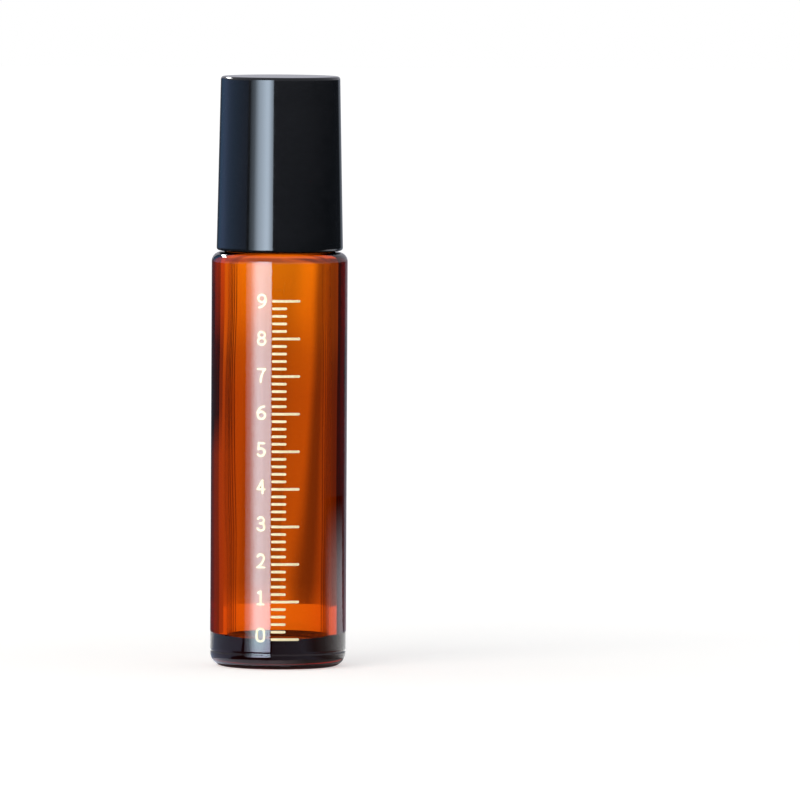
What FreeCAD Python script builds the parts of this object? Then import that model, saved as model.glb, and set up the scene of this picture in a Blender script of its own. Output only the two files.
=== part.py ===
import FreeCAD, Part
import math
import os

# Roll-on bottle of ten millilitres: glass bottle, roller fitment and screw cap.
# Millimetres. The axis is Z, the origin is the centre of the foot, the printed scale faces -Y.

INCH = 25.4
CENTIMETRE = 10.0

# Glass body
BODY_DIAMETER = 20.0
BODY_WALL = 2.4
BODY_HEIGHT = 60.9  # foot to the edge of the shoulder
BASE_THICKNESS = 4.2  # foot to the inner floor
HEEL_RADIUS = 2.1
INNER_HEEL_RADIUS = 0.6
FOOT_RING_WIDTH = 3.1  # from the body's side to the hollow under the base
PUSH_UP_HEIGHT = 0.8
PUSH_UP_SLOPE = 0.9  # width of the hollow's sloping side
PUSH_UP_RADIUS = 0.5
SHOULDER_RADIUS = 1.4
SHOULDER_RISE = 0.2  # from the body's edge to the neck
SHOULDER_WALL = 0.7
INNER_SHOULDER_RADIUS = 0.3
INNER_SHOULDER_SLOPE = 2.0  # degrees from level

# Glass neck
NECK_DIAMETER = 14.0
NECK_WALL = 2.0
NECK_HEIGHT = 13.1  # shoulder to rim
NECK_FILLET = 1.4
RIM_RADIUS = 0.5
THREADS_PER_INCH = 12
THREAD_TURNS = 2.1
THREAD_RISE = 1.0  # above the neck's wall
THREAD_WIDTH = 1.2
THREAD_DROP = 2.05  # rim to the middle of the thread's upper end
THREAD_START = -114.0  # azimuth of the thread's upper end, in degrees from +X
BEAD_DROP = 8.6  # rim to the middle of the bead below the thread
BEAD_WIDTH = 1.4
BEAD_CREST = 0.35
BEAD_RADIUS = 0.25

# Printed scale
INK_THICKNESS = 0.06
ZERO_LIFT = 0.35  # inner floor to the zero line
MILLILITRES = 9
LINES_PER_MILLILITRE = 5
LINE_WIDTH = 0.38
LINE_LEFT = -1.0  # from the middle of the bottle's front
SHORT_LINE = 2.2
LONG_LINE = 4.15
NUMERAL_HEIGHT = 2.2
NUMERAL_WIDTH = 1.38
NUMERAL_STROKE = 0.32
NUMERAL_GAP = 0.8  # numerals to lines
NUMERAL_LIFT = 0.65  # of the zero above its line; the topmost numeral is level with its line

# Roller fitment
FLANGE_OVERHANG = 0.3  # beyond the neck's wall
FLANGE_THICKNESS = 1.3
FLANGE_RADIUS = 0.15
PLUG_LENGTH = 8.0
PLUG_WALL = 1.25
PLUG_CLEARANCE = 0.15
PLUG_CHAMFER = 0.5
PLUG_RINGS = 3
RING_SPACING = 2.0
RING_WIDTH = 0.9
RING_CREST = 0.4
RING_SQUEEZE = 0.03  # how far the neck presses each sealing ring
LIP_WALL = 0.75  # at the opening
LIP_PROUD = 0.15  # above the collar
PASSAGE_DIAMETER = 4.4
SEAT_WALL = 1.2  # below the ball's seat, at the passage
GROOVES = 4
GROOVE_WIDTH = 0.8
GROOVE_DEPTH = 0.45
BALL_DIAMETER = 9.5
BALL_CLEARANCE = 0.1
BALL_PROUD = 3.0  # above the collar

# Collar over the fitment
COLLAR_OVERHANG = 0.05  # beyond the flange
COLLAR_WALL = 1.02
COLLAR_HEIGHT = 6.0
COLLAR_TOP = 0.9
COLLAR_DRAFT = 0.8  # degrees
COLLAR_RADIUS = 0.45
COLLAR_CLEARANCE = 0.03

# Screw cap
CAP_WALL = 1.05  # at the open end
CAP_DRAFT = 1.18  # degrees
CAP_GAP = 0.3  # above the shoulder
CAP_TOP = 1.55
CAP_TOP_RADIUS = 0.45
CAP_RIM_RADIUS = 0.4
CAP_THREAD_CLEARANCE = 0.25  # outside the neck's thread
CAP_COLLAR_CLEARANCE = 0.4
CAP_STEP_DROP = 0.5  # rim to the step between the cap's two bores
CAP_THREAD_TURNS = 1.4
CAP_THREAD_WIDTH = 0.8
CAP_THREAD_LEAD = 0.35  # turns of the neck's thread above the cap's
CAP_THREAD_PASS = 0.25  # between the cap's thread and the collar when the cap comes off
SNAP_DEPTH = 0.25  # how far the bead below the seal stands in
SNAP_WIDTH = 0.8
SNAP_CLEARANCE = 0.05

# Seal inside the cap
SEAL_THICKNESS = 0.7
SEAL_CLEARANCE = 0.05
SEAL_RING_INSET = 0.2  # outside the collar's opening
SEAL_RING_WALL = 0.8
SEAL_BALL_GAP = 0.25

# How roundings and ridges are drawn
ROUNDING_SHARE = 0.49  # most of a straight that one rounding takes
RIDGE_ROOT = 0.3  # depth of a ridge's root in its wall
FADE_TURNS = 0.12
FADE_LEAST = 0.15
SECTIONS_PER_TURN = 24

# Sizes that follow from those
body_radius = BODY_DIAMETER / 2
cavity_radius = body_radius - BODY_WALL
neck_radius = NECK_DIAMETER / 2
bore_radius = neck_radius - NECK_WALL
thread_radius = neck_radius + THREAD_RISE
thread_pitch = INCH / THREADS_PER_INCH
rim_height = BODY_HEIGHT + NECK_HEIGHT
flange_radius = neck_radius + FLANGE_OVERHANG
flange_height = rim_height + FLANGE_THICKNESS
collar_radius = flange_radius + COLLAR_OVERHANG
collar_bore = collar_radius - COLLAR_WALL
collar_height = flange_height + COLLAR_HEIGHT
cup_radius = collar_bore - COLLAR_CLEARANCE
cup_height = collar_height - COLLAR_TOP
lip_height = collar_height + LIP_PROUD
ball_radius = BALL_DIAMETER / 2
ball_height = collar_height + BALL_PROUD - ball_radius
socket_radius = ball_radius + BALL_CLEARANCE
lip_radius = math.sqrt(socket_radius**2 - (lip_height - ball_height) ** 2) + LIP_WALL
collar_opening = lip_radius + COLLAR_CLEARANCE
seal_height = ball_height + ball_radius + SEAL_BALL_GAP
seal_top = seal_height + SEAL_THICKNESS
cap_upper_bore = collar_radius + CAP_COLLAR_CLEARANCE
cap_bore = thread_radius + CAP_THREAD_CLEARANCE
millilitre_height = CENTIMETRE**3 / (math.pi * cavity_radius**2)


def point(radius, height, azimuth=0.0):
    """Point at a radius from the axis, with its azimuth in degrees from +X."""
    turn = math.radians(azimuth)
    return FreeCAD.Vector(radius * math.cos(turn), radius * math.sin(turn), height)


def outline(corners):
    """Closed wire in the XZ plane through (radius, height, rounding) corners."""
    places = [point(radius, height) for radius, height, rounding in corners]
    runs = []
    arcs = []
    for i, (radius, height, rounding) in enumerate(corners):
        here = places[i]
        back = places[i - 1] - here
        ahead = places[(i + 1) % len(places)] - here
        half = back.getAngle(ahead) / 2
        most = ROUNDING_SHARE * min(back.Length, ahead.Length)
        setback = min(rounding / math.tan(half), most)
        start = here + back.normalize() * setback
        end = here + ahead.normalize() * setback
        runs.append((start, end))
        if rounding > 0:
            inward = (back + ahead).normalize()
            reach = setback / math.cos(half) - setback * math.tan(half)
            arcs.append(Part.Arc(start, here + inward * reach, end).toShape())
        else:
            arcs.append(None)
    edges = []
    for i, (start, end) in enumerate(runs):
        if arcs[i]:
            edges.append(arcs[i])
        following = runs[(i + 1) % len(runs)][0]
        edges.append(Part.makeLine(end, following))
    return Part.Wire(edges)


def turned(corners):
    """Solid of revolution about the axis."""
    face = Part.Face(outline(corners))
    return face.revolve(FreeCAD.Vector(0, 0, 0), FreeCAD.Vector(0, 0, 1), 360)


def ridge(root, crest, width, turns, azimuth, height):
    """Round right-hand ridge that runs down from its start and fades out at both ends."""
    outward = 1 if crest > root else -1
    foot = root - outward * RIDGE_ROOT
    steps = round(turns * SECTIONS_PER_TURN)
    sections = []
    for i in range(steps + 1):
        done = turns * i / steps
        near_end = min(done, turns - done) / FADE_TURNS
        share = FADE_LEAST + (1 - FADE_LEAST) * math.sin(math.pi / 2 * min(1, near_end))
        half = width / 2 * share
        tip = foot + (crest - foot) * share
        side = tip - outward * half
        angle = azimuth - 360 * done
        middle = height - thread_pitch * done
        low = point(side, middle - half, angle)
        high = point(side, middle + half, angle)
        low_foot = point(foot, middle - half, angle)
        high_foot = point(foot, middle + half, angle)
        sections.append(Part.Wire([
            Part.Arc(low, point(tip, middle, angle), high).toShape(),
            Part.makeLine(high, high_foot),
            Part.makeLine(high_foot, low_foot),
            Part.makeLine(low_foot, low),
        ]))
    return Part.makeLoft(sections, True, False)


def make_bottle():
    """Glass bottle: heavy base, round shoulder, and a neck with a bead and a screw thread."""
    hollow_radius = body_radius - FOOT_RING_WIDTH
    bead_height = rim_height - BEAD_DROP
    inner_edge = BODY_HEIGHT - SHOULDER_WALL
    inner_rise = (cavity_radius - bore_radius) * math.tan(math.radians(INNER_SHOULDER_SLOPE))
    glass = turned([
        (0, PUSH_UP_HEIGHT, 0),
        (hollow_radius - PUSH_UP_SLOPE, PUSH_UP_HEIGHT, PUSH_UP_RADIUS),
        (hollow_radius, 0, PUSH_UP_RADIUS),
        (body_radius, 0, HEEL_RADIUS),
        (body_radius, BODY_HEIGHT, SHOULDER_RADIUS),
        (neck_radius, BODY_HEIGHT + SHOULDER_RISE, NECK_FILLET),
        (neck_radius, bead_height - BEAD_WIDTH / 2, BEAD_RADIUS),
        (thread_radius, bead_height - BEAD_CREST / 2, BEAD_RADIUS),
        (thread_radius, bead_height + BEAD_CREST / 2, BEAD_RADIUS),
        (neck_radius, bead_height + BEAD_WIDTH / 2, BEAD_RADIUS),
        (neck_radius, rim_height, RIM_RADIUS),
        (bore_radius, rim_height, RIM_RADIUS),
        (bore_radius, inner_edge + inner_rise / 2, INNER_SHOULDER_RADIUS),
        (cavity_radius, inner_edge - inner_rise / 2, INNER_SHOULDER_RADIUS),
        (cavity_radius, BASE_THICKNESS, INNER_HEEL_RADIUS),
        (0, BASE_THICKNESS, 0),
    ])
    height = rim_height - THREAD_DROP
    thread = ridge(neck_radius, thread_radius, THREAD_WIDTH, THREAD_TURNS, THREAD_START, height)
    return glass.fuse(thread)


def stroke(places, width):
    """Round-ended bar through two places (x, height), or band along the arc through three."""
    spine = [FreeCAD.Vector(x, 0, height) for x, height in places]
    depth = FreeCAD.Vector(0, -BODY_DIAMETER, 0)
    half = width / 2
    ends = [Part.makeCylinder(half, BODY_DIAMETER, end, depth) for end in (spine[0], spine[-1])]
    if len(spine) == 2:
        along = (spine[1] - spine[0]).normalize()
        across = along.cross(FreeCAD.Vector(0, 1, 0)) * half
        border = [spine[0] + across, spine[1] + across, spine[1] - across, spine[0] - across]
        wire = Part.makePolygon(border + border[:1])
    else:
        circle = Part.ArcOfCircle(*spine)
        rays = [(place - circle.Center).normalize() for place in spine]
        outer = [circle.Center + ray * (circle.Radius + half) for ray in rays]
        inner = [circle.Center + ray * (circle.Radius - half) for ray in rays]
        wire = Part.Wire([
            Part.Arc(*outer).toShape(),
            Part.makeLine(outer[2], inner[2]),
            Part.Arc(*reversed(inner)).toShape(),
            Part.makeLine(inner[0], outer[0]),
        ])
    return Part.Face(wire).extrude(depth).multiFuse(ends)


def printed(marks):
    """Thin print on the front of the glass, cut from marks that cross the bottle's side."""
    height = BODY_HEIGHT - SHOULDER_RADIUS
    film = Part.makeCylinder(body_radius + INK_THICKNESS, height)
    film = film.cut(Part.makeCylinder(body_radius, height))
    solids = []
    for mark in marks:
        solids += film.common(mark).removeSplitter().Solids
    return Part.makeCompound(solids)


def line_height(millilitres):
    """Height of the scale above the foot."""
    return BASE_THICKNESS + ZERO_LIFT + millilitres * millilitre_height


def make_scale_lines():
    """Lines of the scale, with a long one at each millilitre."""
    round_end = LINE_WIDTH / 2
    marks = []
    for i in range(MILLILITRES * LINES_PER_MILLILITRE + 1):
        height = line_height(i / LINES_PER_MILLILITRE)
        length = SHORT_LINE if i % LINES_PER_MILLILITRE else LONG_LINE
        left = (LINE_LEFT + round_end, height)
        right = (LINE_LEFT + length - round_end, height)
        marks.append(stroke([left, right], LINE_WIDTH))
    return printed(marks)


def numeral_strokes(numeral):
    """Strokes of a plain numeral in a box of half width 1 and half height 1."""
    bowl = 0.43  # centre of a round that is as wide as the box
    if numeral == 0:
        sides = [[(side, -bowl), (side, bowl)] for side in (-1, 1)]
        rounds = [[(-1, end * bowl), (0, end), (1, end * bowl)] for end in (-1, 1)]
        return sides + rounds
    if numeral == 1:
        return [[(0, -1), (0, 1)], [(0, 1), (-0.6, 0.8)], [(-0.8, -1), (0.8, -1)]]
    if numeral == 2:
        return [
            [(-0.85, 0.65), (0, 1), (0.85, bowl)],
            [(0.85, bowl), (0.3, -0.35), (-0.95, -1)],
            [(-0.95, -1), (1, -1)],
        ]
    if numeral == 3:
        return [
            [(-0.8, 0.78), (0.8, 0.52), (-0.25, 0.06)],
            [(-0.25, 0.06), (0.95, -0.47), (-0.95, -0.72)],
        ]
    if numeral == 4:
        return [[(0.4, -1), (0.4, 1)], [(0.4, 1), (-1, -0.38)], [(-1, -0.38), (1, -0.38)]]
    if numeral == 5:
        return [
            [(0.8, 1), (-0.65, 1)],
            [(-0.65, 1), (-0.75, 0.05)],
            [(-0.75, 0.05), (0.95, -0.4), (-0.95, -0.72)],
        ]
    if numeral == 6:
        return [
            [(-1, -bowl), (0, 0.14), (1, -bowl)],
            [(-1, -bowl), (0, -1), (1, -bowl)],
            [(-1, -bowl), (-0.6, 0.55), (0.75, 0.95)],
        ]
    if numeral == 7:
        return [[(-1, 1), (1, 1)], [(1, 1), (0.05, 0.05), (-0.25, -1)]]
    if numeral == 8:
        return [
            [(-0.84, 0.52), (0, 1), (0.84, 0.52)],
            [(-0.84, 0.52), (0, 0.06), (0.84, 0.52)],
            [(-1, -bowl), (0, 0.06), (1, -bowl)],
            [(-1, -bowl), (0, -1), (1, -bowl)],
        ]
    return [[(-x, -height) for x, height in places] for places in numeral_strokes(6)]


def make_scale_numerals():
    """Numerals at the long lines; their spacing is a little closer than the lines'."""
    half_width = (NUMERAL_WIDTH - NUMERAL_STROKE) / 2
    half_height = (NUMERAL_HEIGHT - NUMERAL_STROKE) / 2
    middle = LINE_LEFT - NUMERAL_GAP - NUMERAL_WIDTH / 2
    marks = []
    for numeral in range(MILLILITRES + 1):
        height = line_height(numeral) + NUMERAL_LIFT * (1 - numeral / MILLILITRES)
        bars = []
        for places in numeral_strokes(numeral):
            spine = [(middle + x * half_width, height + z * half_height) for x, z in places]
            bars.append(stroke(spine, NUMERAL_STROKE))
        marks.append(bars[0].multiFuse(bars[1:]))
    return printed(marks)


def make_roller_plug():
    """Plug in the neck with sealing rings, a flange on the rim and a cup that holds the ball."""
    plug_radius = bore_radius - PLUG_CLEARANCE
    plug_bore = plug_radius - PLUG_WALL
    passage_radius = PASSAGE_DIAMETER / 2
    seat_height = ball_height - math.sqrt(socket_radius**2 - passage_radius**2)
    web_height = seat_height - SEAT_WALL
    ring_radius = bore_radius + RING_SQUEEZE
    centre = FreeCAD.Vector(0, 0, ball_height)
    bottom = rim_height - PLUG_LENGTH
    sides = [
        (plug_bore, bottom, 0),
        (plug_radius - PLUG_CHAMFER, bottom, 0),
        (plug_radius, bottom + PLUG_CHAMFER, 0),
    ]
    for i in range(PLUG_RINGS):
        middle = rim_height - (PLUG_RINGS - i) * RING_SPACING
        sides += [
            (plug_radius, middle - RING_WIDTH / 2, 0),
            (ring_radius, middle - RING_CREST / 2, 0),
            (ring_radius, middle + RING_CREST / 2, 0),
            (plug_radius, middle + RING_WIDTH / 2, 0),
        ]
    body = turned(sides + [
        (plug_radius, rim_height, 0),
        (flange_radius, rim_height, FLANGE_RADIUS),
        (flange_radius, flange_height, FLANGE_RADIUS),
        (cup_radius, flange_height, 0),
        (cup_radius, cup_height, 0),
        (lip_radius, cup_height, 0),
        (lip_radius, lip_height, LIP_PROUD),
        (0, lip_height, 0),
        (0, web_height, 0),
        (plug_bore, web_height, 0),
    ])
    body = body.cut(Part.makeSphere(socket_radius, centre))
    body = body.cut(Part.makeCylinder(passage_radius, ball_height))
    groove_ball = Part.makeSphere(socket_radius + GROOVE_DEPTH, centre)
    for i in range(GROOVES):
        slot = Part.makeBox(socket_radius, GROOVE_WIDTH, ball_radius)
        slot.translate(FreeCAD.Vector(0, -GROOVE_WIDTH / 2, ball_height - socket_radius))
        slot.rotate(centre, FreeCAD.Vector(0, 0, 1), 360 / GROOVES * i)
        body = body.cut(slot.common(groove_ball))
    return body


def make_collar():
    """Ring over the cup, which stands on the flange and leaves the lip and the ball free."""
    top_radius = collar_radius - COLLAR_HEIGHT * math.tan(math.radians(COLLAR_DRAFT))
    return turned([
        (collar_bore, flange_height, 0),
        (collar_radius, flange_height, 0),
        (top_radius, collar_height, COLLAR_RADIUS),
        (collar_opening, collar_height, 0),
        (collar_opening, cup_height, 0),
        (collar_bore, cup_height, 0),
    ])


def make_ball():
    """Steel ball."""
    return Part.makeSphere(ball_radius, FreeCAD.Vector(0, 0, ball_height))


def make_cap():
    """Screw cap with a plain tapered outside, a thread inside and a snap bead below the seal."""
    bottom = BODY_HEIGHT + CAP_GAP
    top = seal_top + CAP_TOP
    rim_radius = cap_bore + CAP_WALL
    top_radius = rim_radius - (top - bottom) * math.tan(math.radians(CAP_DRAFT))
    step = rim_height - CAP_STEP_DROP
    snap_top = seal_height - SNAP_CLEARANCE
    shell = turned([
        (cap_bore, bottom, 0),
        (rim_radius, bottom, CAP_RIM_RADIUS),
        (top_radius, top, CAP_TOP_RADIUS),
        (0, top, 0),
        (0, seal_top, 0),
        (cap_upper_bore, seal_top, 0),
        (cap_upper_bore, snap_top, 0),
        (cap_upper_bore - SNAP_DEPTH, snap_top - SNAP_WIDTH / 2, SNAP_DEPTH),
        (cap_upper_bore, snap_top - SNAP_WIDTH, 0),
        (cap_upper_bore, step, 0),
        (cap_bore, step - (cap_bore - cap_upper_bore), 0),
    ])
    start = THREAD_START - 360 * CAP_THREAD_LEAD
    height = rim_height - THREAD_DROP - thread_pitch * CAP_THREAD_LEAD - thread_pitch / 2
    crest = collar_radius + CAP_THREAD_PASS
    return shell.fuse(ridge(cap_bore, crest, CAP_THREAD_WIDTH, CAP_THREAD_TURNS, start, height))


def make_cap_seal():
    """Soft disc in the top of the cap, with a ring around the ball that shuts on the collar."""
    seal_radius = cap_upper_bore - SEAL_CLEARANCE
    ring_bore = collar_opening + SEAL_RING_INSET
    ring_radius = ring_bore + SEAL_RING_WALL
    return turned([
        (0, seal_height, 0),
        (ring_bore, seal_height, 0),
        (ring_bore, collar_height, 0),
        (ring_radius, collar_height, 0),
        (ring_radius, seal_height, 0),
        (seal_radius, seal_height, 0),
        (seal_radius, seal_top, 0),
        (0, seal_top, 0),
    ])


pieces = {
    "bottle": make_bottle(),
    "scale_lines": make_scale_lines(),
    "scale_numerals": make_scale_numerals(),
    "roller_plug": make_roller_plug(),
    "collar": make_collar(),
    "ball": make_ball(),
    "cap": make_cap(),
    "cap_seal": make_cap_seal(),
}
os.makedirs("parts", exist_ok=True)
for name, shape in pieces.items():
    shape.exportStep(f"parts/{name}.step")
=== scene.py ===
import math

import bpy
import numpy as np
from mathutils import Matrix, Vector


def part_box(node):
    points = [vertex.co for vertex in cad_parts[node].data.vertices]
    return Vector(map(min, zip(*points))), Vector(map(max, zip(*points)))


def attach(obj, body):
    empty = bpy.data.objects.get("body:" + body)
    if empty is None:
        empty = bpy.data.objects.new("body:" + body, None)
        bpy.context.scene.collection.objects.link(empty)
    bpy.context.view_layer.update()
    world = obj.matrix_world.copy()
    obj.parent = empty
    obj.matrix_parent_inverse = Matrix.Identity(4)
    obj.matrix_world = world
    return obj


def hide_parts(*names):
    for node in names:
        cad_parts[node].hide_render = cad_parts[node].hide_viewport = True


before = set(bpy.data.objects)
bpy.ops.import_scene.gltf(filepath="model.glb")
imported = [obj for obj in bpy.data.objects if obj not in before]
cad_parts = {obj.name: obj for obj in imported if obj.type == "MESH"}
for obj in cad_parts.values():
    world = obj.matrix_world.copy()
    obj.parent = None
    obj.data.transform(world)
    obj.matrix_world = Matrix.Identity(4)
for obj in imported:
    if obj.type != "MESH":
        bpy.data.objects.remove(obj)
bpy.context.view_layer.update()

# Roll-on bottle of amber glass with a black screw cap, in metres.
# The axis is Z and the printed scale faces -Y, towards the camera.

MM = 0.001
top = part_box("bottle")[1]  # upper corner of the bottle's box

# Glass bottle: sizes that its box doesn't give
BODY_WALL = 2.4 * MM
BASE_THICKNESS = 4.2 * MM
HEEL_RADIUS = 2.1 * MM
INNER_HEEL_RADIUS = 0.6 * MM
FOOT_RING_WIDTH = 3.1 * MM
PUSH_UP_HEIGHT = 0.8 * MM
PUSH_UP_SLOPE = 0.9 * MM
PUSH_UP_RADIUS = 0.5 * MM
SEAM_HEIGHT = 2.35 * MM  # of the mould's seam above the heel
SEAM_DEPTH = 0.2 * MM
SEAM_WIDTH = 0.2 * MM
NECK_HEIGHT = 13.1 * MM
SHOULDER_RADIUS = 1.4 * MM
SHOULDER_RISE = 0.2 * MM
SHOULDER_WALL = 0.7 * MM
INNER_SHOULDER_SLOPE = math.radians(2)
INNER_SHOULDER_RADIUS = 0.3 * MM
NECK_RADIUS = 7.0 * MM
NECK_WALL = 2.0 * MM
NECK_FILLET = 1.4 * MM
RIM_RADIUS = 0.5 * MM
BEAD_DROP = 8.6 * MM
BEAD_WIDTH = 1.4 * MM
BEAD_CREST = 0.35 * MM
BEAD_RADIUS = 0.25 * MM
THREAD_RISE = 1.0 * MM
THREAD_CREST = 0.15 * MM  # from the ridge's middle to where it starts to fall
THREAD_ROOT = 0.8 * MM  # from the ridge's middle to the neck's wall
THREAD_PITCH = 25.4 * MM / 12
THREAD_TURNS = 2.1
THREAD_DROP = 2.05 * MM
THREAD_START = math.radians(-114)
THREAD_FADE = 0.12  # turns over which the ridge rises and fades out
BODY_RADIUS = top.x
INNER_RADIUS = BODY_RADIUS - BODY_WALL
BORE_RADIUS = NECK_RADIUS - NECK_WALL
SHOULDER = top.z - NECK_HEIGHT
BEAD = top.z - BEAD_DROP

# How finely the glass is drawn
COLUMNS = 256
ARC_STEP = math.radians(6)
MOST_SETBACK = 0.99  # of a straight that one arc takes
LONG_ROW = 1.5 * MM
FINE_ROW = 0.06 * MM
SUPPORT_ROW = 0.12 * MM
NECK_TOLERANCE = 0.01 * MM  # how near to the neck's radius a row counts as on the neck

# Waves of the inner wall, as number of waves round the bottle and depth
WALL_WAVES = [(2, 0.05 * MM), (3, 0.04 * MM), (5, 0.025 * MM), (8, 0.012 * MM), (13, 0.006 * MM)]
WAVE_SEED = 4
WAVE_DRIFT = 8  # most radians that a wave turns over the bottle's height
LOW_WAVES = (11 * MM, 24 * MM)  # heights between which the waves set in
HIGH_WAVES = (42 * MM, 55 * MM)  # heights between which they die away

# Shades of the plastics from dark to light, which noise mixes
NOISE_LOW, NOISE_HIGH = 0.3, 0.7  # shares between which most of a noise lies
BLACK = [(0.0035, 0.0045, 0.006), (0.005, 0.006, 0.008)]
PALE = [(0.68, 0.59, 0.54), (0.75, 0.67, 0.61)]
WHITE = [(0.8, 0.79, 0.77), (0.87, 0.86, 0.84)]

# Camera
CAMERA_PLACE = Vector((17.78 * MM, -1986 * MM, 146.15 * MM))
CAMERA_AIM = Vector((17.78 * MM, 0, 39.25 * MM))
CAMERA_LENS = 608.6
CAMERA_ROLL = math.radians(0.3)


def rounded(corners):
    """Points (radius, height) along corners (radius, height, rounding), with an arc at each rounding."""
    places = [np.array(corner[:2]) for corner in corners]
    points = [places[0]]
    for i in range(1, len(corners) - 1):
        here = places[i]
        back = places[i - 1] - here
        ahead = places[i + 1] - here
        runs = np.linalg.norm(back), np.linalg.norm(ahead)
        back, ahead = back / runs[0], ahead / runs[1]
        half = math.acos(np.clip(back @ ahead, -1, 1)) / 2
        setback = min(corners[i][2] / math.tan(half), MOST_SETBACK * min(runs))
        if setback == 0:
            points.append(here)
            continue
        inward = (back + ahead) / np.linalg.norm(back + ahead)
        centre = here + inward * setback / math.cos(half)
        turn = math.pi - 2 * half
        steps = max(4, math.ceil(turn / ARC_STEP))
        first = here + back * setback - centre
        side = np.array([-first[1], first[0]])
        if side @ back > 0:
            side = -side
        for k in range(steps + 1):
            angle = turn * k / steps
            points.append(centre + first * math.cos(angle) + side * math.sin(angle))
    points.append(places[-1])
    return points


def threaded(place):
    """Whether a point of the outline is on the outside of the neck, above the bead."""
    return place[1] > BEAD and place[0] > (NECK_RADIUS + BORE_RADIUS) / 2


def with_rows(points):
    """The same line with more points on its straights, and the most where the thread is."""
    rows = [points[0]]
    for start, end in zip(points, points[1:]):
        length = np.linalg.norm(end - start)
        if length > 4 * SUPPORT_ROW:
            along = (end - start) / length
            step = FINE_ROW if threaded((start + end) / 2) else LONG_ROW
            inner = length - 2 * SUPPORT_ROW
            count = max(1, math.ceil(inner / step))
            for k in range(count + 1):
                rows.append(start + along * (SUPPORT_ROW + inner * k / count))
        rows.append(end)
    return np.array(rows)


def smooth_step(low, high, value):
    """Share from 0 to 1 that starts and ends softly while a value goes from low to high."""
    share = np.clip((value - low) / (high - low), 0, 1)
    return share * share * (3 - 2 * share)


def thread_rise(azimuth, height):
    """How far the screw thread stands out of the neck."""
    first = top.z - THREAD_DROP
    rise = np.zeros_like(height + azimuth)
    for turn in range(-1, math.ceil(THREAD_TURNS) + 1):
        done = ((THREAD_START - azimuth) % (2 * math.pi)) / (2 * math.pi) + turn
        inside = (done >= 0) & (done <= THREAD_TURNS)
        fade = smooth_step(0, THREAD_FADE, np.minimum(done, THREAD_TURNS - done))
        off = np.abs(height - (first - THREAD_PITCH * done))
        ridge = THREAD_RISE * fade * (1 - smooth_step(THREAD_CREST, THREAD_ROOT, off))
        rise = np.maximum(rise, np.where(inside, ridge, 0))
    return rise


def wall_waves(azimuth, height):
    """Slight unevenness of the inner wall, which draws soft upright streaks in the glass."""
    draw = np.random.default_rng(WAVE_SEED)
    depth = np.zeros_like(height + azimuth)
    for waves, size in WALL_WAVES:
        phase, drift = draw.uniform(0, 2 * math.pi), draw.uniform(-WAVE_DRIFT, WAVE_DRIFT)
        depth = depth + size * np.cos(waves * azimuth + phase + drift * height / top.z)
    return depth


def outline():
    """Corners (radius, height, rounding) of half the glass, from foot over rim to inner floor."""
    hollow_radius = BODY_RADIUS - FOOT_RING_WIDTH
    bead_radius = NECK_RADIUS + THREAD_RISE
    inner_edge = SHOULDER - SHOULDER_WALL
    inner_rise = math.tan(INNER_SHOULDER_SLOPE) * (INNER_RADIUS - BORE_RADIUS) / 2
    return [
        (0, PUSH_UP_HEIGHT, 0),
        (hollow_radius - PUSH_UP_SLOPE, PUSH_UP_HEIGHT, PUSH_UP_RADIUS),
        (hollow_radius, 0, PUSH_UP_RADIUS),
        (BODY_RADIUS, 0, HEEL_RADIUS),
        (BODY_RADIUS, SEAM_HEIGHT - SEAM_WIDTH, 0),
        (BODY_RADIUS - SEAM_DEPTH, SEAM_HEIGHT, 0),
        (BODY_RADIUS, SEAM_HEIGHT + SEAM_WIDTH, 0),
        (BODY_RADIUS, SHOULDER, SHOULDER_RADIUS),
        (NECK_RADIUS, SHOULDER + SHOULDER_RISE, NECK_FILLET),
        (NECK_RADIUS, BEAD - BEAD_WIDTH / 2, BEAD_RADIUS),
        (bead_radius, BEAD - BEAD_CREST / 2, BEAD_RADIUS),
        (bead_radius, BEAD + BEAD_CREST / 2, BEAD_RADIUS),
        (NECK_RADIUS, BEAD + BEAD_WIDTH / 2, BEAD_RADIUS),
        (NECK_RADIUS, top.z, RIM_RADIUS),
        (BORE_RADIUS, top.z, RIM_RADIUS),
        (BORE_RADIUS, inner_edge + inner_rise, INNER_SHOULDER_RADIUS),
        (INNER_RADIUS, inner_edge - inner_rise, INNER_SHOULDER_RADIUS),
        (INNER_RADIUS, BASE_THICKNESS, INNER_HEEL_RADIUS),
        (0, BASE_THICKNESS, 0),
    ]


def mesh_object(name, vertices, faces, made):
    """Mesh with one material, in the scene."""
    mesh = bpy.data.meshes.new(name)
    mesh.from_pydata(vertices, [], faces)
    mesh.materials.append(made)
    piece = bpy.data.objects.new(name, mesh)
    bpy.context.scene.collection.objects.link(piece)
    return piece


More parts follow.
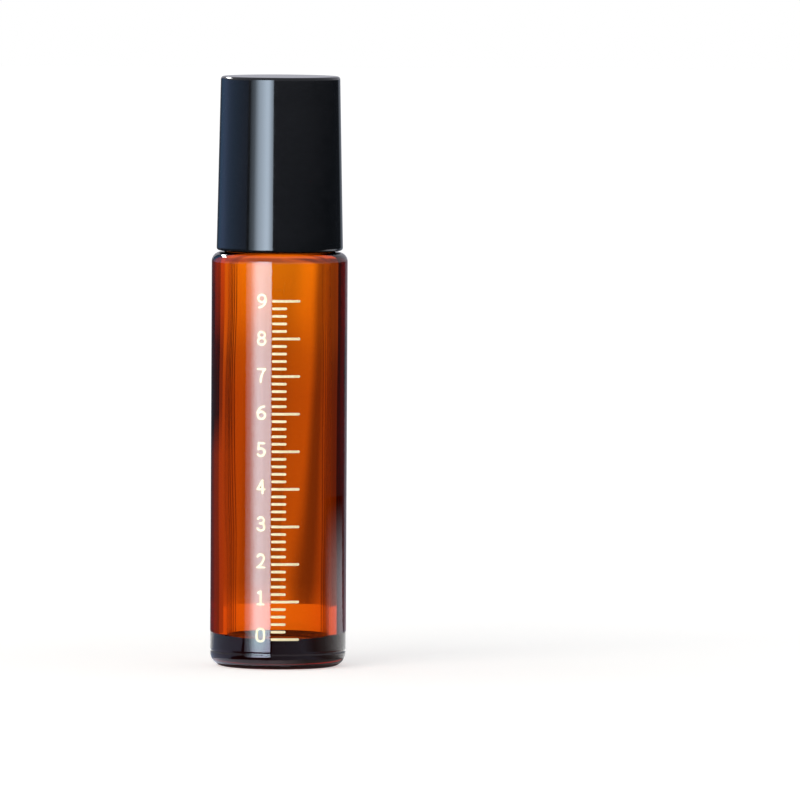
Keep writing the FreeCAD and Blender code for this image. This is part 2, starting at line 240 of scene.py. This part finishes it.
def make_bottle():
    """Closed glass shell turned from its outline, with the thread outside and slight waves inside."""
    rows = with_rows(rounded(outline()))
    rim_row = int(np.argmax(rows[:, 1]))
    radius, height = rows[1:-1, :1], rows[1:-1, 1:]
    azimuth = np.arange(COLUMNS)[None, :] * 2 * math.pi / COLUMNS
    outside = np.arange(1, len(rows) - 1)[:, None] < rim_row
    on_neck = outside & (np.abs(radius - NECK_RADIUS) < NECK_TOLERANCE)
    near_wall = smooth_step(*LOW_WAVES, height) * (1 - smooth_step(*HIGH_WAVES, height))
    radius = radius + np.where(on_neck, thread_rise(azimuth, height), 0)
    radius = radius + np.where(outside, 0, near_wall * wall_waves(azimuth, height))
    ring = np.stack([radius * np.cos(azimuth), radius * np.sin(azimuth), height + 0 * azimuth], axis=-1)
    vertices = [(0, 0, rows[0][1]), *ring.reshape(-1, 3).tolist(), (0, 0, rows[-1][1])]
    faces = []
    last = len(vertices) - 1
    end = last - COLUMNS
    for j in range(COLUMNS):
        beside = (j + 1) % COLUMNS
        faces.append((0, 1 + beside, 1 + j))
        for low in range(1, end, COLUMNS):
            high = low + COLUMNS
            faces.append((low + j, low + beside, high + beside, high + j))
        faces.append((end + j, end + beside, last))
    bottle = mesh_object("glass_bottle", vertices, faces, amber_glass())
    bottle.data.shade_smooth()
    return bottle


# Materials


def new_material(name):
    """Material with its node tree and its shader."""
    made = bpy.data.materials.new(name)
    made.use_nodes = True
    tree = made.node_tree
    return made, tree, tree.nodes["Principled BSDF"]


def add(tree, kind, **settings):
    """Node with settings; a key that names an input sets its value."""
    node = tree.nodes.new(kind)
    for key, value in settings.items():
        if key in node.inputs:
            node.inputs[key].default_value = value
        else:
            setattr(node, key, value)
    return node


def noise(tree, scale, stretch=(1, 1, 1), detail=4.0, roughness=0.5):
    """Noise in the object's own coordinates, with a number of grains per metre."""
    coordinates = add(tree, "ShaderNodeTexCoord")
    mapping = add(tree, "ShaderNodeMapping", Scale=stretch)
    texture = add(tree, "ShaderNodeTexNoise", Scale=scale, Detail=detail, Roughness=roughness)
    tree.links.new(coordinates.outputs["Object"], mapping.inputs["Vector"])
    tree.links.new(mapping.outputs["Vector"], texture.inputs["Vector"])
    return texture.outputs["Fac"]


def ranged(tree, value, start, end, first=0.0, last=1.0, kind="LINEAR"):
    """Number that goes from first to last while a value goes from start to end."""
    node = add(tree, "ShaderNodeMapRange", interpolation_type=kind)
    for key, number in (("From Min", start), ("From Max", end), ("To Min", first), ("To Max", last)):
        node.inputs[key].default_value = number
    tree.links.new(value, node.inputs["Value"])
    return node.outputs["Result"]


def between(tree, share, low, high):
    """Numbers from low to high along a noise."""
    return ranged(tree, share, NOISE_LOW, NOISE_HIGH, low, high)


def colours(tree, share, stops):
    """Colour ramp through (position, colour) stops."""
    node = add(tree, "ShaderNodeValToRGB")
    band = node.color_ramp.elements
    band.remove(band[1])
    band[0].position = stops[0][0]
    band[0].color = (*stops[0][1], 1)
    for position, colour in stops[1:]:
        band.new(position).color = (*colour, 1)
    tree.links.new(share, node.inputs["Fac"])
    return node.outputs["Color"]


def shades(tree, share, dark, light):
    """Colours from dark to light along a noise."""
    return colours(tree, share, [(NOISE_LOW, dark), (NOISE_HIGH, light)])


def bump(tree, shader, height, depth, strength):
    """Fine relief of a given depth in metres."""
    node = add(tree, "ShaderNodeBump", Distance=depth, Strength=strength)
    tree.links.new(height, node.inputs["Height"])
    tree.links.new(node.outputs["Normal"], shader.inputs["Normal"])


def amber_glass():
    """Clear amber glass, coloured in its depth, with a faintly uneven skin and a few smears."""
    made, tree, shader = new_material("amber_glass")
    shader.inputs["Transmission Weight"].default_value = 1.0
    shader.inputs["IOR"].default_value = 1.52
    smears = noise(tree, 260, stretch=(1, 1, 0.25))
    tree.links.new(shades(tree, smears, (1, 0.985, 0.95), (0.97, 0.95, 0.91)), shader.inputs["Base Color"])
    tree.links.new(between(tree, smears, 0.0, 0.025), shader.inputs["Roughness"])
    bump(tree, shader, noise(tree, 120, stretch=(1, 1, 0.2), detail=1.0), 0.02 * MM, 0.5)
    depth = add(tree, "ShaderNodeVolumeAbsorption", Color=(0.94, 0.68, 0.0, 1), Density=1500.0)
    tree.links.new(depth.outputs["Volume"], tree.nodes["Material Output"].inputs["Volume"])
    return made


def plastic(name, dark, light, smooth, rough, grain, relief):
    """Moulded plastic: two close shades, roughness that varies a little and a fine relief."""
    made, tree, shader = new_material(name)
    flow = noise(tree, grain, stretch=(1, 1, 0.3))
    tree.links.new(shades(tree, flow, dark, light), shader.inputs["Base Color"])
    tree.links.new(between(tree, noise(tree, 3 * grain), smooth, rough), shader.inputs["Roughness"])
    bump(tree, shader, noise(tree, 6 * grain, detail=2.0), relief, 0.3)
    return made


def scale_ink():
    """Cream screen ink with an uneven film."""
    made, tree, shader = new_material("scale_ink")
    film = noise(tree, 2500)
    tree.links.new(shades(tree, film, (0.93, 0.83, 0.48), (0.97, 0.91, 0.66)), shader.inputs["Base Color"])
    tree.links.new(between(tree, film, 0.18, 0.32), shader.inputs["Roughness"])
    bump(tree, shader, noise(tree, 6000), 0.01 * MM, 0.5)
    return made


def ball_steel():
    """Polished steel with fine scratches along one way."""
    made, tree, shader = new_material("ball_steel")
    shader.inputs["Metallic"].default_value = 1.0
    scratches = noise(tree, 1500, stretch=(1, 0.08, 1), detail=6.0)
    tree.links.new(shades(tree, scratches, (0.6, 0.59, 0.58), (0.7, 0.69, 0.68)), shader.inputs["Base Color"])
    tree.links.new(between(tree, scratches, 0.16, 0.26), shader.inputs["Roughness"])
    bump(tree, shader, scratches, 0.002 * MM, 0.3)
    return made


def paint(name, made):
    """Gives a CAD node its material."""
    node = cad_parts[name]
    node.data.materials.clear()
    node.data.materials.append(made)


# Stage

FLOOR_SIZE = 6.0
FLOOR_FADE = (40 * MM, 200 * MM)  # distances between which the shadow on the floor fades
FLOOR_SHINE = (0.48, 0.66)  # what the floor shines at those distances, on top of its light
STEPS = 128  # sides of a full round of stage

# What shows through the glass
TABLE_DEPTH = 136 * MM  # how far the lit table reaches from the bottle's axis
TABLE_DROP = 0.1 * MM
WALL_HEIGHTS = (-30 * MM, 75 * MM)
STREAK_LEAN = 0.55  # turns per metre that the wall's upright streaks lean
STREAK_HEIGHT = 35 * MM  # height at which they stand at their own azimuths
FLAG_EDGE = 10.1 * MM  # from the axis to the near edge of a dark card
FLAGS = [(95, 11.0), (100, 10.8), (105, 10.75), (110, 10.8), (115, 10.8), (120, 10.65), (125, 10.5)]
FAR_FLAG = 108  # azimuth from which a card darkens the outermost edge
NEAR_FLAG = (-96, 11.1, 14.0)  # azimuth and radii of the card that shades the left edge's inner side
FOOT_RING = 10.3 * MM  # radius of the dark ring round the foot
FOOT_SHADE = 4.6 * MM  # its height

# What the glass and the cap mirror
HEEL_GLOW = (9.3 * MM, 12 * MM)  # radii of the table that the heel mirrors
FOOT_GLOW = (12 * MM, 75 * MM)  # radii of the pale table round the foot
FOOT_GLOW_START = -8  # azimuth from which it goes round to the soft light
SIDE_GLOW = (75 * MM, 420 * MM)  # radii of the pale table on the right
SIDE_GLOW_EDGES = (84, 138)  # azimuths
SIDE_FADE = 150 * MM  # distance from which it fades
REFLECTOR_RADIUS = 80 * MM
REFLECTOR_HEIGHTS = (57.5 * MM, 100 * MM)
REFLECTOR_EDGES = (-152, -60)  # azimuths
SOFTBOX_DISTANCE = 500 * MM
SOFTBOX_EDGES = (-58, -12.4)  # azimuths
SOFTBOX_HEIGHTS = (-120 * MM, 40.5 * MM, 260 * MM)  # foot, middle and top: the glass mirrors the lower part
SOFTBOX_LEVEL = 9.7  # in mirrors
SOFTBOX_TINT = Vector((0.93, 1.12, 1.34))
SOFTBOX_LIGHT = 7.0  # on what scatters light
SOFTBOX_COLOUR = (0.8, 0.76, 0.7, 1)
LAMP_PLACE = (600 * MM, -140, 35)  # distance, azimuth and elevation
LAMP_SIZE = (420 * MM, 80 * MM)
LAMP_LEVEL = 60.0
HORIZON = (-0.01, 0.05)  # slopes between which the mirrored studio turns pale


def staged(name, vertices, faces, made, seen_by):
    """Stage mesh that only some kinds of ray see."""
    piece = mesh_object(name, vertices, faces, made)
    for ray in ("camera", "diffuse", "glossy", "transmission", "volume_scatter", "shadow"):
        setattr(piece, f"visible_{ray}", ray in seen_by)


def emission(name):
    """Material that only shines, with its tree and its shader."""
    made = bpy.data.materials.new(name)
    made.use_nodes = True
    tree = made.node_tree
    tree.nodes.remove(tree.nodes["Principled BSDF"])
    shine = add(tree, "ShaderNodeEmission")
    tree.links.new(shine.outputs["Emission"], tree.nodes["Material Output"].inputs["Surface"])
    return made, tree, shine


def position(tree):
    """Place of the lit point in the scene."""
    return add(tree, "ShaderNodeNewGeometry").outputs["Position"]


def distance(tree):
    """Distance of the lit point from the middle of the foot."""
    reach = add(tree, "ShaderNodeVectorMath", operation="LENGTH")
    tree.links.new(position(tree), reach.inputs[0])
    return reach.outputs["Value"]


def split(tree, vector):
    """X, Y and Z of a vector."""
    parts = add(tree, "ShaderNodeSeparateXYZ")
    tree.links.new(vector, parts.inputs["Vector"])
    return parts.outputs


def azimuth_share(tree, vector):
    """Azimuth of a vector from 0 to 1, with the camera's side at 0.5 and +X at 0.75, and its height."""
    parts = split(tree, vector)
    flip = add(tree, "ShaderNodeMath", operation="MULTIPLY")
    angle = add(tree, "ShaderNodeMath", operation="ARCTAN2")
    share = add(tree, "ShaderNodeMath", operation="MULTIPLY_ADD")
    flip.inputs[1].default_value = -1
    share.inputs[1].default_value = 0.5 / math.pi
    share.inputs[2].default_value = 0.5
    tree.links.new(parts["Y"], flip.inputs[0])
    tree.links.new(parts["X"], angle.inputs[0])
    tree.links.new(flip.outputs["Value"], angle.inputs[1])
    tree.links.new(angle.outputs["Value"], share.inputs[0])
    return share.outputs["Value"], parts["Z"]


def round_stops(stops):
    """Stops at azimuths in degrees from the camera's side, positive towards +X, as shares of a turn."""
    return [(0.5 + degrees / 360, colour) for degrees, colour in stops]


def grey(level):
    return (level, level, level)


def plain_glow(name, colour):
    """Shining material of one colour."""
    made, _, shine = emission(name)
    shine.inputs["Color"].default_value = (*colour, 1)
    return made


def round_glow(name, stops, fade=None):
    """Shining material whose colour changes with the azimuth, and which may fade between two distances."""
    made, tree, shine = emission(name)
    azimuth, _ = azimuth_share(tree, position(tree))
    tree.links.new(colours(tree, azimuth, round_stops(stops)), shine.inputs["Color"])
    if fade:
        tree.links.new(ranged(tree, distance(tree), *fade, 1.0, 0.0, "SMOOTHSTEP"), shine.inputs["Strength"])
    return made


def tall_glow(name, stops):
    """Shining material whose level changes with the height in millimetres, up to the wall's top."""
    made, tree, shine = emission(name)
    share = ranged(tree, split(tree, position(tree))["Z"], 0.0, WALL_HEIGHTS[1])
    shares = [(height * MM / WALL_HEIGHTS[1], grey(level)) for height, level in stops]
    tree.links.new(colours(tree, share, shares), shine.inputs["Color"])
    return made


def multiplied(tree, one, other):
    """Product of two colours."""
    both = add(tree, "ShaderNodeMixRGB", blend_type="MULTIPLY", Fac=1.0)
    tree.links.new(one, both.inputs["Color1"])
    tree.links.new(other, both.inputs["Color2"])
    return both.outputs["Color"]


def make_floor():
    """Plain pale floor: white to the camera, with the object's shadow on it."""
    made, tree, shader = new_material("floor_white")
    tree.links.new(shades(tree, noise(tree, 400), grey(0.86), grey(0.9)), shader.inputs["Base Color"])
    shader.inputs["Roughness"].default_value = 0.9
    shader.inputs["Specular IOR Level"].default_value = 0.0
    shine = add(tree, "ShaderNodeEmission", Color=(1, 1, 1, 1))
    tree.links.new(ranged(tree, distance(tree), *FLOOR_FADE, *FLOOR_SHINE), shine.inputs["Strength"])
    both = add(tree, "ShaderNodeAddShader")
    by_ray = add(tree, "ShaderNodeMixShader")
    rays = add(tree, "ShaderNodeLightPath")
    tree.links.new(shader.outputs["BSDF"], both.inputs[0])
    tree.links.new(shine.outputs["Emission"], both.inputs[1])
    tree.links.new(rays.outputs["Is Camera Ray"], by_ray.inputs["Fac"])
    tree.links.new(shader.outputs["BSDF"], by_ray.inputs[1])
    tree.links.new(both.outputs["Shader"], by_ray.inputs[2])
    tree.links.new(by_ray.outputs["Shader"], tree.nodes["Material Output"].inputs["Surface"])
    half = FLOOR_SIZE / 2
    corners = [(-half, -half, 0), (half, -half, 0), (half, half, 0), (-half, half, 0)]
    staged("floor", corners, [(0, 1, 2, 3)], made, {"camera", "diffuse", "shadow"})


def spot(radius, azimuth, height):
    """Point at a radius and an azimuth in degrees from the camera's side."""
    angle = math.radians(azimuth)
    return (radius * math.sin(angle), -radius * math.cos(angle), height)


def make_band(name, low, high, azimuths, made, seen_by):
    """Stage mesh between two arcs, each given as radius and height."""
    start, end = azimuths
    steps = math.ceil(STEPS * (end - start) / 360)
    places = []
    for i in range(steps + 1):
        azimuth = start + (end - start) * i / steps
        places += [spot(low[0], azimuth, low[1]), spot(high[0], azimuth, high[1])]
    faces = [(2 * i, 2 * i + 2, 2 * i + 3, 2 * i + 1) for i in range(steps)]
    staged(name, places, faces, made, seen_by)


def make_wall():
    """Round wall that the glass shows: paler on the left and high up, streaky on the right."""
    made, tree, shine = emission("wall_glow")
    azimuth, height = azimuth_share(tree, position(tree))
    above = add(tree, "ShaderNodeMath", operation="SUBTRACT")
    above.inputs[1].default_value = STREAK_HEIGHT
    leaning = add(tree, "ShaderNodeMath", operation="MULTIPLY_ADD")
    leaning.inputs[1].default_value = STREAK_LEAN
    tree.links.new(height, above.inputs[0])
    tree.links.new(above.outputs["Value"], leaning.inputs[0])
    tree.links.new(azimuth, leaning.inputs[2])
    streaks = [
        (-180, 0.58), (-172, 0.6), (-168, 0.8), (-150, 0.92), (-135, 0.7), (-120, 0.7), (0, 0.8),
        (100, 0.7), (118, 0.25), (132, 0.22), (142, 0.25), (150, 0.32), (156, 0.58), (160, 0.45),
        (164, 0.24), (168, 0.28), (170, 0.5), (172.5, 0.85), (176, 0.8), (180, 0.58),
    ]
    greys = round_stops([(degrees, grey(level)) for degrees, level in streaks])
    low, high = WALL_HEIGHTS
    upper = colours(tree, ranged(tree, height, low, high), [
        (0.286, grey(1.35)), (0.32, grey(1.0)), (0.6, grey(1.0)), (0.66, (1.12, 1.3, 1.1)),
        (0.72, (1.55, 2.1, 1.5)), (0.79, (1.8, 2.75, 1.8)), (1.0, (1.8, 2.75, 1.8)),
    ])
    across = colours(tree, leaning.outputs["Value"], greys)
    tree.links.new(multiplied(tree, across, upper), shine.inputs["Color"])
    make_band("wall", (TABLE_DEPTH, low), (TABLE_DEPTH, high), (-180, 180), made, {"transmission"})


def make_table():
    """Table that the glass shows, with a painted shadow that makes it dark under the bottle, pale at the
    wall, and a dark ring at the foot.
    """
    made, tree, shine = emission("table_glow")
    # painted shadow: the table's glow is near black under the bottle and rises to pale towards the wall
    tree.links.new(colours(tree, ranged(tree, distance(tree), 0.0, TABLE_DEPTH), [
        (0.0, grey(0.005)), (0.12, grey(0.005)), (0.25, grey(0.7)), (0.56, grey(1.2)), (1.0, grey(1.3)),
    ]), shine.inputs["Color"])
    make_band("table", (0, -TABLE_DROP), (TABLE_DEPTH, -TABLE_DROP), (-180, 180), made, {"transmission"})
    shade = plain_glow("foot_shade", (0.03, 0.03, 0.035))
    make_band("foot_shade", (FOOT_RING, 0), (FOOT_RING, FOOT_SHADE), (-180, 180), shade, {"transmission"})


def make_flags():
    """Fans of narrow upright cards beside the bottle, edge on to its axis, which draw its dark outline."""
    right = tall_glow("flag_right", [(0, 0.04), (75, 0.04)])
    left = tall_glow("flag_left", [(31, 0.38), (37, 0.05), (47, 0.06), (52, 0.3), (59, 0.5)])
    far_left = tall_glow("flag_far_left", [(31, 0.25), (35, 0.02), (54, 0.02), (59, 0.25)])
    near_left = tall_glow("flag_near_left", [(31, 0.7), (38, 0.36), (46, 0.38), (52, 0.8), (59, 1.1)])
    cards = [(azimuth, FLAG_EDGE, reach * MM, right) for azimuth, reach in FLAGS]
    for azimuth, reach in FLAGS:
        cards.append((-azimuth, FLAG_EDGE, reach * MM, left if azimuth < FAR_FLAG else far_left))
    cards.append((NEAR_FLAG[0], NEAR_FLAG[1] * MM, NEAR_FLAG[2] * MM, near_left))
    for azimuth, near, far, made in cards:
        places = [spot(near, azimuth, FOOT_SHADE), spot(far, azimuth, FOOT_SHADE),
                  spot(far, azimuth, WALL_HEIGHTS[1]), spot(near, azimuth, WALL_HEIGHTS[1])]
        staged(f"flag_{azimuth}", places, [(0, 1, 2, 3)], made, {"transmission"})


def make_mirrored_table():
    """Pale table that the heel, the foot and the right side mirror, open where the soft light stands, with a
    dark disc under the bottle as its painted shadow.
    """
    heel = round_glow("heel_glow", [
        (-180, grey(0.8)), (-60, (1.0, 1.05, 1.25)), (0, (1.2, 1.0, 1.1)), (30, grey(0.3)), (100, grey(0.3)),
        (150, grey(0.8)), (180, grey(0.8)),
    ])
    # painted shadow: a dim disc under the bottle that the heel mirrors in place of the lit table
    under = plain_glow("under_painted_shadow", (0.1, 0.07, 0.07))
    near, far = HEEL_GLOW
    make_band("under_table", (0, -TABLE_DROP), (near, -TABLE_DROP), (-180, 180), under, {"glossy"})
    make_band("heel_table", (near, -TABLE_DROP), (far, -TABLE_DROP), (-180, 180), heel, {"glossy"})
    round_foot = round_glow("foot_glow", [
        (-180, grey(1.1)), (-146, grey(1.1)), (-128, (0.36, 0.43, 0.58)), (-62, (0.4, 0.45, 0.65)),
        (-8, (0.18, 0.2, 0.25)), (40, (0.3, 0.34, 0.45)), (60, grey(0.12)), (80, grey(0.3)),
        (106, grey(0.95)), (121, grey(1.2)), (180, grey(1.1)),
    ])
    near, far = FOOT_GLOW
    edges = (FOOT_GLOW_START, 360 + SOFTBOX_EDGES[0])
    make_band("foot_table", (near, 0), (far, 0), edges, round_foot, {"glossy"})
    near, far = SIDE_GLOW
    side = round_glow("side_glow", [
        (84, grey(0.0)), (95, grey(0.9)), (121, (1.4, 1.45, 1.55)), (138, (1.0, 1.1, 1.25)),
    ], fade=(SIDE_FADE, far))
    make_band("side_table", (near, 0), (far, 0), SIDE_GLOW_EDGES, side, {"glossy"})


def make_reflector():
    """Cool pale card on the left, as high as the cap, which gives the cap's left side its sheen."""
    made = round_glow("reflector_glow", [
        (-152, (0.04, 0.06, 0.1)), (-142, (0.1, 0.2, 0.36)), (-121, (0.25, 0.38, 0.7)),
        (-90, (0.22, 0.36, 0.62)), (-64, (0.2, 0.26, 0.42)), (-52, (0.05, 0.06, 0.08)),
    ])
    low, high = ((REFLECTOR_RADIUS, height) for height in REFLECTOR_HEIGHTS)
    make_band("reflector", low, high, REFLECTOR_EDGES, made, {"glossy"})


def soft_light(name, low, high, levels, tints):
    """Upright light on the left between two heights, with levels across it and tints up it in mirrors."""
    made, tree, shine = emission(name)
    own = split(tree, add(tree, "ShaderNodeTexCoord").outputs["Generated"])
    across = colours(tree, own["X"], [(place, SOFTBOX_TINT * level) for place, level in levels])
    mirrored = multiplied(tree, across, colours(tree, own["Z"], tints))
    in_mirror = add(tree, "ShaderNodeLightPath").outputs["Is Glossy Ray"]
    by_ray = add(tree, "ShaderNodeMixRGB", Color1=SOFTBOX_COLOUR)
    tree.links.new(in_mirror, by_ray.inputs["Fac"])
    tree.links.new(mirrored, by_ray.inputs["Color2"])
    tree.links.new(by_ray.outputs["Color"], shine.inputs["Color"])
    strength = ranged(tree, in_mirror, 0.0, 1.0, SOFTBOX_LIGHT, SOFTBOX_LEVEL)
    tree.links.new(strength, shine.inputs["Strength"])
    left, right = SOFTBOX_EDGES
    places = [spot(SOFTBOX_DISTANCE, left, low), spot(SOFTBOX_DISTANCE, left, high),
              spot(SOFTBOX_DISTANCE, right, high), spot(SOFTBOX_DISTANCE, right, low)]
    staged(name, places, [(0, 1, 2, 3)], made, {"diffuse", "glossy", "shadow"})


def make_softbox():
    """Tall soft light on the left, in a lower part for the glass and an upper one for the cap."""
    foot, middle, head = SOFTBOX_HEIGHTS
    soft_light("softbox_low", foot, middle, [
        (0.0, 0.04), (0.21, 0.17), (0.42, 0.62), (0.52, 0.74), (0.65, 0.73), (0.77, 0.64), (0.94, 0.62),
        (1.0, 0.4),
    ], [(0.55, (1.2, 1.05, 1.15)), (0.58, (1.28, 1.44, 1.33))])
    soft_light("softbox_high", middle, head, [
        (0.0, 0.04), (0.21, 0.17), (0.42, 0.65), (0.71, 1.0), (0.8, 0.98), (0.92, 0.62), (1.0, 0.4),
    ], [(0.0, grey(1.06)), (1.0, grey(1.06))])


def make_lamp():
    """Small lamp high behind on the left, for the glints on rounded edges."""
    made, tree, shine = emission("lamp_glow")
    own = split(tree, add(tree, "ShaderNodeTexCoord").outputs["Generated"])
    tree.links.new(colours(tree, own["X"], [
        (0.0, grey(0.02)), (0.3, grey(0.2)), (0.5, grey(1.0)), (0.7, grey(0.2)), (1.0, grey(0.02)),
    ]), shine.inputs["Color"])
    shine.inputs["Strength"].default_value = LAMP_LEVEL
    away, azimuth, elevation = LAMP_PLACE
    rise = math.radians(elevation)
    place = Vector(spot(away * math.cos(rise), azimuth, away * math.sin(rise)))
    width, height = LAMP_SIZE
    across = Vector(spot(width / 2, azimuth + 90, 0))
    upward = place.normalized().cross(across) * height / width
    corners = [place + across + upward, place - across + upward,
               place - across - upward, place + across - upward]
    staged("lamp", corners, [(0, 1, 2, 3)], made, {"glossy"})


def make_world():
    """White to the camera and through the glass; a dim studio in mirrors; soft grey light on the rest."""
    world = bpy.data.worlds.new("studio")
    world.use_nodes = True
    tree = world.node_tree
    bpy.context.scene.world = world
    way = add(tree, "ShaderNodeTexCoord").outputs["Generated"]
    azimuth, slope = azimuth_share(tree, way)
    low = colours(tree, azimuth, round_stops([
        (-180, (0.4, 0.41, 0.46)), (-160, (0.05, 0.06, 0.08)), (-60, (0.02, 0.025, 0.035)),
        (0, (0.03, 0.035, 0.045)), (147, (0.03, 0.035, 0.045)), (152, (0.26, 0.3, 0.36)),
        (180, (0.4, 0.41, 0.46)),
    ]))
    mirrored = add(tree, "ShaderNodeMixRGB", Color2=(0.55, 0.55, 0.62, 1))
    tree.links.new(ranged(tree, slope, *HORIZON), mirrored.inputs["Fac"])
    tree.links.new(low, mirrored.inputs["Color1"])
    rays = add(tree, "ShaderNodeLightPath")
    with_mirrors = add(tree, "ShaderNodeMixRGB", Color1=(0.46, 0.46, 0.46, 1))
    with_glass = add(tree, "ShaderNodeMixRGB", Color2=(1, 1, 1, 1))
    with_camera = add(tree, "ShaderNodeMixRGB", Color2=(1, 1, 1, 1))
    tree.links.new(mirrored.outputs["Color"], with_mirrors.inputs["Color2"])
    tree.links.new(rays.outputs["Is Glossy Ray"], with_mirrors.inputs["Fac"])
    tree.links.new(with_mirrors.outputs["Color"], with_glass.inputs["Color1"])
    tree.links.new(rays.outputs["Is Transmission Ray"], with_glass.inputs["Fac"])
    tree.links.new(with_glass.outputs["Color"], with_camera.inputs["Color1"])
    tree.links.new(rays.outputs["Is Camera Ray"], with_camera.inputs["Fac"])
    tree.links.new(with_camera.outputs["Color"], tree.nodes["Background"].inputs["Color"])


def make_camera():
    """Camera at the photograph's angle, a little above the bottle."""
    lens = bpy.data.cameras.new("camera")
    lens.lens = CAMERA_LENS
    lens.clip_end = 20.0
    camera = bpy.data.objects.new("camera", lens)
    bpy.context.scene.collection.objects.link(camera)
    camera.location = CAMERA_PLACE
    camera.rotation_euler = (CAMERA_AIM - CAMERA_PLACE).to_track_quat("-Z", "Y").to_euler()
    camera.rotation_euler.rotate_axis("Z", CAMERA_ROLL)
    bpy.context.scene.camera = camera


glass = make_bottle()
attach(glass, "bottle")
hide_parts("bottle")

ink = scale_ink()
paint("scale_lines", ink)
paint("scale_numerals", ink)
paint("cap", plastic("cap_plastic", *BLACK, 0.05, 0.09, 220, 0.004 * MM))
paint("collar", plastic("collar_plastic", *BLACK, 0.06, 0.1, 220, 0.004 * MM))
paint("roller_plug", plastic("plug_plastic", *PALE, 0.3, 0.42, 300, 0.01 * MM))
paint("cap_seal", plastic("seal_plastic", *WHITE, 0.35, 0.5, 300, 0.01 * MM))
paint("ball", ball_steel())

make_floor()
make_wall()
make_table()
make_flags()
make_mirrored_table()
make_reflector()
make_softbox()
make_lamp()
make_world()
make_camera()
bpy.context.scene.view_settings.view_transform = "Standard"
